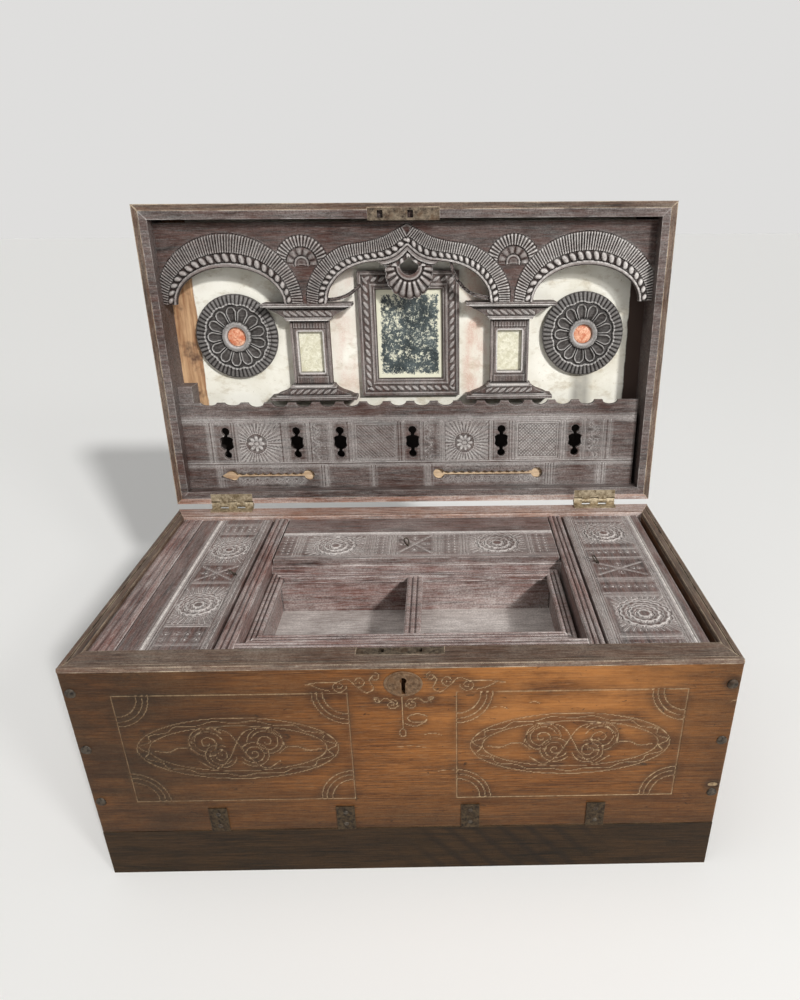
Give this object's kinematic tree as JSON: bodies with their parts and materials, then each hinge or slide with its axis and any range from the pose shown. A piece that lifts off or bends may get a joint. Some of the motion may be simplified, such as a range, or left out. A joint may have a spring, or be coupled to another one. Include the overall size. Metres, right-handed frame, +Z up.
{
  "type": "dowry chest",
  "caption": "Hinged wooden dowry chest with an incised front, a fitted till tray under lift-up lids, and an arcaded, mirrored lid lining.",
  "frame": {"origin": "middle of the chest's underside", "axes": "+X to the right of someone who faces the front, +Y to the back, +Z up; stored with the lid open"},
  "size_m": [0.61, 0.4325, 0.6143],
  "materials": {
    "body_teak": "waxed, worn, with rubbed incised lines",
    "rim_teak": "waxed, worn",
    "carved_teak": "dark stained, with pale dust in the grooves",
    "cream_paint": "aged cream paint on wood",
    "cream_inlay": "aged and speckled",
    "orange_inlay": "glazed",
    "old_mirror": "foxed silvering",
    "dark_iron": "wrought, dark patina",
    "grey_iron": "worn plate",
    "hinge_brass": "tarnished"
  },
  "bodies": {
    "chest": {"front_board": "body_teak", "back_board": "body_teak", "left_end_board": "body_teak", "right_end_board": "body_teak", "bottom_board": "body_teak", "plinth_boards": "body_teak", "rim_front": "carved_teak", "rim_back": "rim_teak", "rim_left": "carved_teak", "rim_right": "carved_teak", "left_till_strip": "carved_teak", "left_divider": "carved_teak", "right_divider": "carved_teak", "well_front_rail": "carved_teak", "well_front_board": "carved_teak", "back_till_wall": "carved_teak", "left_till_floor": "carved_teak", "back_till_floor": "carved_teak", "right_till_floor": "carved_teak", "tray_runners": "carved_teak", "lock_case": "dark_iron", "escutcheon": "grey_iron", "base_plates": "dark_iron", "plate_nails": "dark_iron", "front_nails": "dark_iron", "hinge_body_leaves": "hinge_brass", "hinge_pins": "hinge_brass", "hinge_body_screws": "hinge_brass"},
    "tray": {"tray_sides": "carved_teak", "tray_partition": "carved_teak", "tray_bottom": "carved_teak"},
    "left_till": {"left_till_lid": "carved_teak", "left_till_pull": "dark_iron"},
    "right_till": {"right_till_lid": "carved_teak", "right_till_pull": "dark_iron"},
    "back_till": {"back_till_lid": "carved_teak", "back_till_pull": "dark_iron"},
    "bolt": {"lock_bolt": "dark_iron"},
    "lid": {"lid_top_board": "body_teak", "lid_front_rail": "body_teak", "lid_back_rail": "body_teak", "lid_left_rail": "body_teak", "lid_right_rail": "body_teak", "lid_lining": "carved_teak", "painted_backing": "cream_paint", "arcade_board": "carved_teak", "left_column": "carved_teak", "right_column": "carved_teak", "column_inserts": "cream_inlay", "mirror_frame": "carved_teak", "mirror_glass": "old_mirror", "roundels": "carved_teak", "roundel_inserts": "orange_inlay", "gallery_panel": "carved_teak", "gallery_blocks": "carved_teak", "lid_lock_plate": "dark_iron", "lid_plate_nails": "dark_iron", "hinge_lid_leaves": "hinge_brass", "hinge_lid_screws": "hinge_brass"}
  },
  "joints": [
    {"name": "lid_hinge", "type": "hinge", "parent": "chest", "child": "lid", "pos_m": [0, 0.1778, 0.2609], "axis": [1, 0, 0], "range_deg": [0, 93.3]},
    {"name": "left_till_hinge", "type": "hinge", "parent": "chest", "child": "left_till", "pos_m": [-0.258, 0, 0.248], "axis": [0, 1, 0], "range_deg": [-105, 0]},
    {"name": "right_till_hinge", "type": "hinge", "parent": "chest", "child": "right_till", "pos_m": [0.277, 0, 0.248], "axis": [0, -1, 0], "range_deg": [-105, 0]},
    {"name": "back_till_hinge", "type": "hinge", "parent": "chest", "child": "back_till", "pos_m": [0, 0.134, 0.248], "axis": [1, 0, 0], "range_deg": [-105, 0]},
    {"name": "tray_lift", "type": "slide", "parent": "chest", "child": "tray", "axis": [0, 0, -1], "range_m": [-0.08, 0]},
    {"name": "lock_throw", "type": "slide", "parent": "chest", "child": "bolt", "axis": [1, 0, 0], "range_m": [-0.008, 0]}
  ]
}
